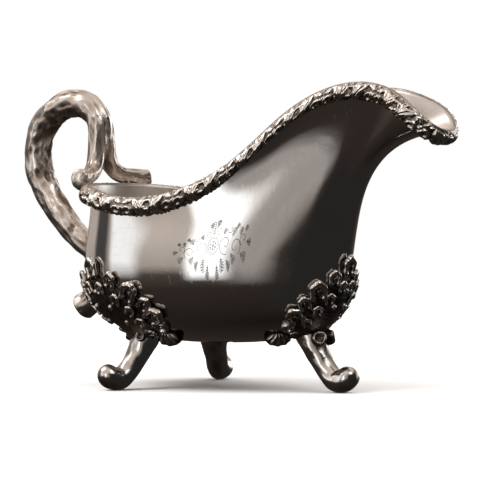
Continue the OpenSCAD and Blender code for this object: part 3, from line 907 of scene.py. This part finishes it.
def build_mount(key):
    """The leaf over one leg: a veined sheet, the relief on it and the leg's shoulder rings."""
    root, leg_dir, mid = ROOTS[key]
    turn, top, size, spread, nc = FRONT_LEAF if key == "front" else REAR_LEAF
    lobes, inner = leaf_parts(turn, top, size)
    every = [(sg * t, z, r, kind) for t, z, r, kind in lobes + inner for sg in ((1, -1) if t else (1,))]
    edge = [(sg * t, z, r) for t, z, r, kind in lobes for sg in ((1, -1) if t else (1,))]
    cols = np.unwrap(column(np.linspace(mid - spread, mid + spread, nc)), period=RING)
    rr = np.linspace(float(row_of(18.3)), NB + 1.5, SHEET_ROWS)
    C, R = np.meshgrid(cols, rr)
    P, N = at(SURF, C, R), at(NORM, C, R)
    N /= np.linalg.norm(N, axis=-1, keepdims=True)
    start = surface_at(mid, LEAF_ROOT)
    plate = sheet_mask(P, start, mid, edge)
    ribs = sheet_ribs(P, start, mid, edge)
    foot = np.exp(-(np.linalg.norm(P - leg_point(root, leg_dir, -1.5, 0, 24), axis=-1) / 8.0) ** 2)
    h = (0.5 + 1.25 * ribs + 0.1 * noise1(P[..., 0] * 2.3 + P[..., 2] * 1.9, 4)) + 3.6 * foot
    h = np.where(plate > 0.5, h, h * 0 - 0.4) * np.clip((plate - 0.3) / 0.45, 0, 1) - 0.4 * (plate < 0.5)
    tone = np.clip(0.02 + np.maximum(h - 2.6 * foot, 0) * 0.36, 0, 0.9)
    parts = [sheet_mesh(P, N, h, plate > 0.22, tone)]
    for t, z, r, kind in every:
        c, n = surface_at(mid + t, z), normal_at(mid + t, z)
        out = c - start
        out = out - n * (out @ n)
        parts += trim(kind, c, n, out / np.linalg.norm(out), r)
    parts += shoulder_rings(root, leg_dir, *((3.1, 4.9, 3.9) if key == "front" else (2.2, 3.4, 4.3)))
    verts, faces, tones = joined(parts)
    return make("foot_mount_%s_leaf" % key, outside(verts), faces, LEAF, "foot_mount_" + key,
                tones)


# ---------------------------------------------------------------- engraving
ORNAMENT_X = 39           # middle of the ornament along the side
ORNAMENT_ROWS = 9         # rows of the bowl's surface from the belly up to it
ORNAMENT_SCALE = 0.8
ROW_STEP = 0.42           # height of one row there
STROKE_STEP = 0.35        # longest step along a stroke


def spiral(cx, cy, r0, r1, a0, turns, n=40):
    """A scroll of the ornament, its radius growing from r0 to r1."""
    t = np.linspace(0, 1, n)
    r = r0 + (r1 - r0) * t
    a = math.radians(a0) + turns * 2 * np.pi * t
    return np.stack([cx + r * np.cos(a), cy + r * np.sin(a)], -1)


def sprig(x, y, ang, size, n=5):
    """A little leaf: a stem with paired strokes."""
    a = math.radians(ang)
    d, e = np.array([math.cos(a), math.sin(a)]), np.array([-math.sin(a), math.cos(a)])
    p = np.array([x, y])
    out = [np.array([p, p + d * size])]
    for k in range(1, n + 1):
        q = p + d * size * k / (n + 0.6)
        w = size * 0.42 * math.sin(math.pi * (k + 0.3) / (n + 1.3))
        out += [np.array([q, q + d * w * 0.7 + e * w]), np.array([q, q + d * w * 0.7 - e * w])]
    return out


def ornament():
    """A made-up symmetrical leaf scroll; x along the side, y up, in millimetres."""
    lines = []
    for sg in (1, -1):
        half = []
        half.append(spiral(6.2, 1.0, 0.5, 3.6, 200, 1.25))
        half.append(spiral(11.6, -0.6, 0.4, 2.9, 20, -1.2))
        half.append(spiral(15.6, 1.2, 0.3, 1.9, 210, 1.1))
        half.append(spiral(3.0, 6.4, 0.3, 1.7, 250, 1.1))
        half.append(spiral(8.6, 5.4, 0.3, 1.5, 160, -1.0))
        for x, y, a, s in ((9.6, 2.6, 60, 3.2), (9.3, -2.2, -50, 3.0), (13.8, 2.2, 70, 2.6),
                           (14.2, -2.6, -20, 3.2), (4.2, -3.2, -70, 3.0), (4.8, 4.2, 60, 2.6),
                           (17.2, 0.2, -10, 2.6), (2.2, -4.8, -80, 2.4), (1.4, 8.4, 80, 3.0),
                           (7.0, -4.0, -40, 2.4), (11.2, 4.8, 40, 2.2), (16.2, 3.0, 50, 2.0)):
            half += sprig(x, y, a, s)
        for q in half:
            lines.append(q * [sg, 1])
    for k in range(6):
        lines += sprig(0, 1.2, 30 + k * 60, 1.9, 1)
    t = np.linspace(0, 2 * np.pi, 40)
    lines.append(np.stack([2.9 * np.cos(t), 1.2 + 3.4 * np.sin(t)], -1))
    lines.append(np.stack([2.3 * np.cos(t), 1.2 + 2.8 * np.sin(t)], -1))
    lines += sprig(0, 5.0, 90, 6.4, 6)
    return lines


def build_engraving():
    """Every stroke is a thin four-sided bar, sunk into the silver of the right side."""
    cx = RING - int(np.argmin(np.abs(SURF[NB, :HALF, 0] - ORNAMENT_X)))
    row = NB + ORNAMENT_ROWS
    verts, faces = [], []
    step_c = np.linalg.norm(SURF[row, (cx + 10) % RING] - SURF[row, (cx - 10) % RING]) / 20
    for q in ornament():
        q = q * ORNAMENT_SCALE
        n = max(2, int(np.ceil(np.linalg.norm(np.diff(q, axis=0), axis=1).sum() / STROKE_STEP)))
        s = np.r_[0, np.cumsum(np.linalg.norm(np.diff(q, axis=0), axis=1))]
        t = np.linspace(0, s[-1], n + 1)
        q = np.stack([np.interp(t, s, q[:, 0]), np.interp(t, s, q[:, 1])], -1)
        d = np.gradient(q, axis=0)
        d /= np.maximum(np.linalg.norm(d, axis=1), 1e-9)[:, None]
        e = np.stack([-d[:, 1], d[:, 0]], -1)
        w = 0.05 * np.sqrt(np.clip(np.sin(np.pi * np.linspace(0.06, 0.94, n + 1)), 0, 1))[:, None] + 0.03
        b = len(verts)
        for off, lift in ((e * w, 0.04), (0 * e, 0.07), (-e * w, 0.04), (0 * e, -0.05)):
            g = q + off
            col = cx - g[:, 0] / step_c
            rw = row + g[:, 1] / ROW_STEP
            verts.extend(at(SURF, col, rw) + at(NORM, col, rw) * lift)
        m = n + 1
        for i in range(n):
            for k in range(4):
                a, c = b + k * m + i, b + (k + 1) % 4 * m + i
                faces.append([a, a + 1, c + 1, c])
        faces.append([b + k * m for k in range(4)])
        faces.append([b + k * m + n for k in (3, 2, 1, 0)])
    return make("body_engraving", verts, faces, LINE, None)


build_bowl()
build_border("rim_border_left_relief", 0, "rim_border_left")
build_border("rim_border_right_relief", HALF, "rim_border_right")
build_handle()
build_branch("handle_branch_left_cast", 1, "handle_branch_left")
build_branch("handle_branch_right_cast", -1, "handle_branch_right")
for key in ROOTS:
    build_leg(key)
    build_mount(key)
build_engraving()

# ---------------------------------------------------------------- studio
scene = bpy.context.scene


def build_floor():
    """Pale table top that fades into the backdrop with distance."""
    mesh = bpy.data.meshes.new("studio_floor")
    mesh.from_pydata([(-9, -9, 0), (9, -9, 0), (9, 9, 0), (-9, 9, 0)], [], [(0, 1, 2, 3)])
    obj = bpy.data.objects.new("studio_floor", mesh)
    scene.collection.objects.link(obj)
    m, nt, b = nodes_for("studio_floor_paint")
    vec = coords(nt)
    nt.links.new(ramp(nt, noise(nt, vec, 5, 3, 0.5), [(0.3, (0.84, 0.84, 0.84)), (0.7, (0.86, 0.86, 0.86))]),
                 b.inputs["Base Color"])
    b.inputs["Roughness"].default_value = 0.9
    b.inputs["Specular IOR Level"].default_value = 0.05
    ln = nt.nodes.new("ShaderNodeVectorMath")
    ln.operation = "LENGTH"
    nt.links.new(vec, ln.inputs[0])
    em = nt.nodes.new("ShaderNodeEmission")
    em.inputs["Color"].default_value = (1, 1, 1, 1)
    ms = nt.nodes.new("ShaderNodeMixShader")
    nt.links.new(maprange(nt, ln.outputs["Value"], 0.22, 0.85, 0, 1), ms.inputs["Fac"])
    nt.links.new(b.outputs[0], ms.inputs[1])
    nt.links.new(em.outputs[0], ms.inputs[2])
    nt.links.new(ms.outputs[0], nt.nodes["Material Output"].inputs["Surface"])
    mesh.materials.append(m)
    obj.visible_glossy = False


build_floor()


def build_world():
    """Plain studio: pale soft boxes and dark cards round a neutral grey."""
    w = bpy.data.worlds.new("studio")
    scene.world = w
    w.use_nodes = True
    nt = w.node_tree
    bg = nt.nodes["Background"]
    tc = nt.nodes.new("ShaderNodeTexCoord")
    sep = nt.nodes.new("ShaderNodeSeparateXYZ")
    nt.links.new(tc.outputs["Generated"], sep.inputs[0])
    x, y, z = sep.outputs
    deg = 57.2958         # degrees in a radian
    # azimuth: 0 towards -Y, positive towards +X; elevation up
    az = maths(nt, "MULTIPLY", maths(nt, "ARCTAN2", x, maths(nt, "MULTIPLY", y, -1)), deg)
    el = maths(nt, "MULTIPLY", maths(nt, "ARCSINE", z), deg)
    def band(v, a, b, soft):
        up = maprange(nt, v, a - soft, a + soft, 0, 1)
        dn = maprange(nt, v, b - soft, b + soft, 1, 0)
        return maths(nt, "MULTIPLY", up, dn)
    sky = ramp(nt, maprange(nt, el, -90, 90, 0, 1),
               [(0.0, (0.010, 0.008, 0.007)), (0.40, (0.03, 0.023, 0.02)), (0.465, (0.06, 0.048, 0.043)),
                (0.485, (0.40, 0.35, 0.315)), (0.65, (0.60, 0.52, 0.465)), (1.0, (0.72, 0.64, 0.58))])
    cards = [
        # azimuth from, to, soft, elevation from, to, soft, brightness
        (35, 170, 12, -60, 40, 10, 0.02),        # long dark card on the spout's side
        (-10, 10, 3, -8, 25, 3, 1.6),            # main soft box
        (10, 30, 8, -10, 30, 6, 0.35),           # its soft edge
        (-60, -35, 3, -5, 25, 4, 1.0),           # strip box
        (-90, -65, 4, -5, 25, 4, 0.06),          # dark card
        (-80, -45, 6, 35, 60, 6, 3.5),           # overhead boxes
        (60, 100, 6, 35, 60, 6, 2.4),
        (145, 175, 3, -2, 20, 3, 2.0),           # boxes behind
        (-175, -145, 3, -2, 20, 3, 2.0),
    ]
    col = sky
    for a0, a1, s0, e0, e1, s1, c in cards:
        m = maths(nt, "MULTIPLY", band(az, a0, a1, s0), band(el, e0, e1, s1))
        col = mix(nt, m, col, (c, 0.93 * c, 0.89 * c) if c < 1 else (c, c, c))    # dark cards are warm
    nt.links.new(col, bg.inputs["Color"])
    bg.inputs["Strength"].default_value = 1.0
    # plain pale backdrop where the camera looks straight at it
    plain = nt.nodes.new("ShaderNodeBackground")
    plain.inputs["Color"].default_value = (1, 1, 1, 1)
    lp = nt.nodes.new("ShaderNodeLightPath")
    ms = nt.nodes.new("ShaderNodeMixShader")
    nt.links.new(lp.outputs["Is Camera Ray"], ms.inputs["Fac"])
    nt.links.new(bg.outputs[0], ms.inputs[1])
    nt.links.new(plain.outputs[0], ms.inputs[2])
    nt.links.new(ms.outputs[0], nt.nodes["World Output"].inputs["Surface"])


build_world()


def lamp(name, loc, target, size, power, color):
    """A soft box in metres, which lights the object but isn't mirrored in it."""
    d = bpy.data.lights.new(name, "AREA")
    d.shape = "RECTANGLE"
    d.size, d.size_y = size
    d.energy = power
    d.color = color
    o = bpy.data.objects.new(name, d)
    scene.collection.objects.link(o)
    o.location = loc
    v = np.array(target) - np.array(loc)
    o.rotation_euler = Vector(v.tolist()).to_track_quat("-Z", "Y").to_euler()
    o.visible_camera = False
    o.visible_glossy = False


lamp("key_soft", (-0.9, -1.5, 1.9), (0, 0, 0.05), (1.6, 1.2), 46, (1, 1, 1))
lamp("fill_soft", (1.8, 1.2, 1.7), (0, 0, 0.05), (1.8, 1.4), 26, (1, 0.98, 0.95))
lamp("top_soft", (0.1, 0.1, 2.4), (0, 0, 0), (2.4, 2.4), 36, (1, 1, 1))

# ---------------------------------------------------------------- camera
AZ, EL, ROLL = math.radians(36.0), math.radians(1.2), math.radians(-0.4)
DIST = 1100.0             # millimetres from the aim
PXMM = 2.5                # pixels of the frame to a millimetre at that distance
AIM_Z, AIM_RIGHT, AIM_DOWN = 60.0, 22.2, 1.24
FRAME_PX, SENSOR = 477, 36
right = np.array([math.cos(AZ), math.sin(AZ), 0.0])
back = np.array([math.sin(AZ) * math.cos(EL), -math.cos(AZ) * math.cos(EL), math.sin(EL)])
up = np.cross(back, right)
right, up = (math.cos(ROLL) * right + math.sin(ROLL) * up, -math.sin(ROLL) * right + math.cos(ROLL) * up)
aim = np.array([0, 0, AIM_Z]) + AIM_RIGHT * right - AIM_DOWN * up
loc = (aim + DIST * back - np.array([ORIGIN_X, 0, 0])) / 1000
cam = bpy.data.objects.new("camera", bpy.data.cameras.new("camera"))
scene.collection.objects.link(cam)
m4 = Matrix.Identity(4)
for i in range(3):
    m4[i][0], m4[i][1], m4[i][2], m4[i][3] = right[i], up[i], back[i], loc[i]
cam.matrix_world = m4
cam.data.sensor_width = SENSOR
cam.data.lens = SENSOR * PXMM * DIST / FRAME_PX
cam.data.clip_end = 100
scene.camera = cam
scene.view_settings.view_transform = "Standard"

bpy.context.view_layer.update()
